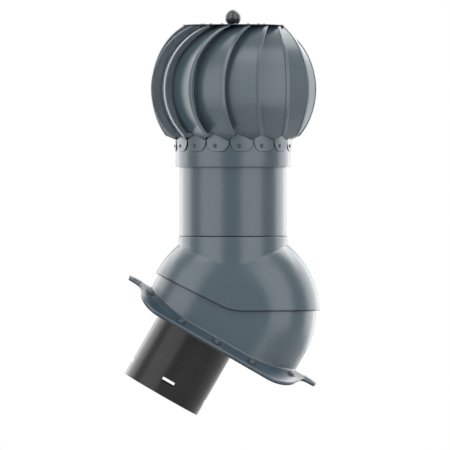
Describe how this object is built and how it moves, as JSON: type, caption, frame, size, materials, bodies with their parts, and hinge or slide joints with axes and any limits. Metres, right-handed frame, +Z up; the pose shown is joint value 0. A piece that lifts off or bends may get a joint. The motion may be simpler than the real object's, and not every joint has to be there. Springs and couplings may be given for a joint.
{
  "type": "rotating chimney cowl",
  "caption": "Wind-driven roof cowl: a ball of curved vanes spins on a tube above a tilting hood and a roof flange.",
  "frame": {"origin": "centre of the inlet pipe's mouth, on the pipe's axis", "axes": "+Z up along the turbine's axis, +X down the roof's slope, +Y along the hood's tilt axis away from the picture's viewer"},
  "size_m": [0.292, 0.2528, 0.6078],
  "materials": {
    "graphite_moulding": "satin",
    "graphite_sheet": "satin",
    "graphite_screw": "satin",
    "black_pipe": "satin",
    "black_rubber": "matte",
    "zinc_steel": "zinc plated",
    "turned_steel": "turned",
    "turned_aluminium": "turned",
    "cage_plastic": "matte"
  },
  "bodies": {
    "base": {"roof_base": "graphite_moulding", "flange_gasket": "black_rubber", "flange_washers": "black_rubber", "flange_screws": "graphite_screw", "inlet_pipe": "black_pipe", "inlet_seal": "black_rubber", "inlet_screws": "zinc_steel"},
    "head": {"hood": "graphite_moulding", "clamp_washers": "zinc_steel", "clamp_screws": "zinc_steel", "jacket_tube": "graphite_sheet", "axle_bracket": "zinc_steel", "bracket_rivets": "zinc_steel", "axle": "turned_steel", "axle_washer": "zinc_steel", "axle_nut": "zinc_steel", "axle_tip_nut": "zinc_steel", "upper_bearing_inner_ring": "turned_steel", "lower_bearing_inner_ring": "turned_steel", "inner_spacer": "turned_steel"},
    "turbine": {"vane_01": "graphite_sheet", "vane_02": "graphite_sheet", "vane_03": "graphite_sheet", "vane_04": "graphite_sheet", "vane_05": "graphite_sheet", "vane_06": "graphite_sheet", "vane_07": "graphite_sheet", "vane_08": "graphite_sheet", "vane_09": "graphite_sheet", "vane_10": "graphite_sheet", "vane_11": "graphite_sheet", "vane_12": "graphite_sheet", "vane_13": "graphite_sheet", "vane_14": "graphite_sheet", "vane_15": "graphite_sheet", "top_disc": "graphite_sheet", "top_rivets": "graphite_sheet", "ball_knob": "graphite_sheet", "rotor_hub": "turned_aluminium", "skirt_ring": "graphite_sheet", "skirt_rivets": "graphite_sheet", "upper_bearing_outer_ring": "turned_steel", "lower_bearing_outer_ring": "turned_steel", "upper_bearing_balls": "turned_steel", "lower_bearing_balls": "turned_steel", "bearing_cages": "cage_plastic", "outer_spacer": "turned_steel", "bearing_circlip": "turned_steel"}
  },
  "joints": [
    {"name": "hood_tilt", "type": "hinge", "parent": "base", "child": "head", "pos_m": [0.10821, 0, 0.12343], "axis": [0, 1, 0], "range_deg": [-8, 30]},
    {"name": "turbine_spin", "type": "hinge", "parent": "head", "child": "turbine", "pos_m": [0.10821, 0, 0.12343], "axis": [0, 0, 1], "continuous": true}
  ]
}
